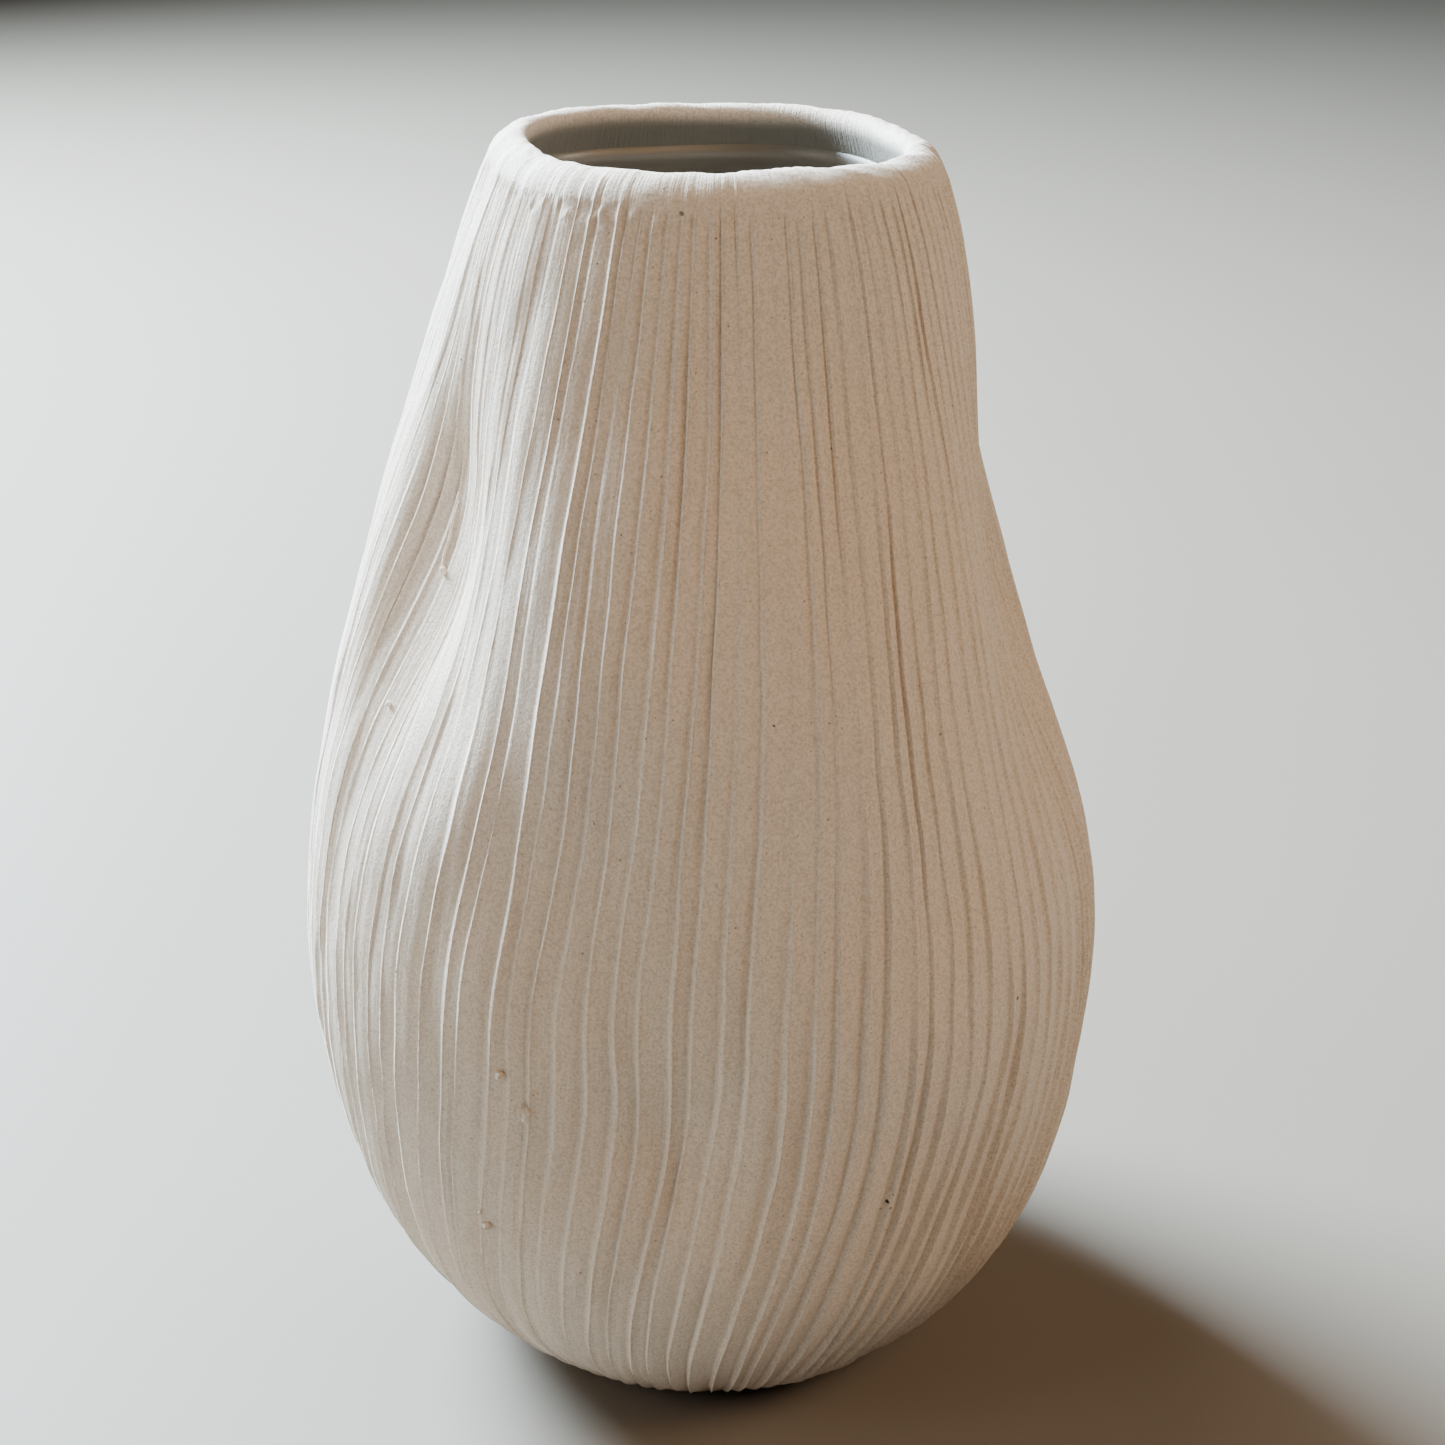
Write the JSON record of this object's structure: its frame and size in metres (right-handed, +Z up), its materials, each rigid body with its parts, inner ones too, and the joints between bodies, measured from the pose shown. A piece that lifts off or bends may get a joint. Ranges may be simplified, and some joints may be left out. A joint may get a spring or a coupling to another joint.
{
  "type": "stoneware vase",
  "caption": "Hand-formed pear-shaped stoneware vase with a soft square mouth, pressed-in sides and fine carved vertical flutes.",
  "frame": {"origin": "centre of the foot, on the face that rests on the table", "axes": "+Z up through the mouth, the front faces -Y, +X to the right seen from the front"},
  "size_m": [0.1177, 0.1154, 0.18],
  "materials": {
    "foot_clay": "matte, wiped bare clay",
    "carved_clay": "matte, carved flutes, fine grain with small iron specks",
    "smooth_clay": "matte, smoothed with a wet finger",
    "liner_glaze": "thin satin liner glaze, greyer than the clay"
  },
  "bodies": {
    "root": {"base_slab": "foot_clay", "body_wall": "carved_clay", "rim_coil": "smooth_clay", "liner_glaze": "liner_glaze"}
  },
  "joints": []
}
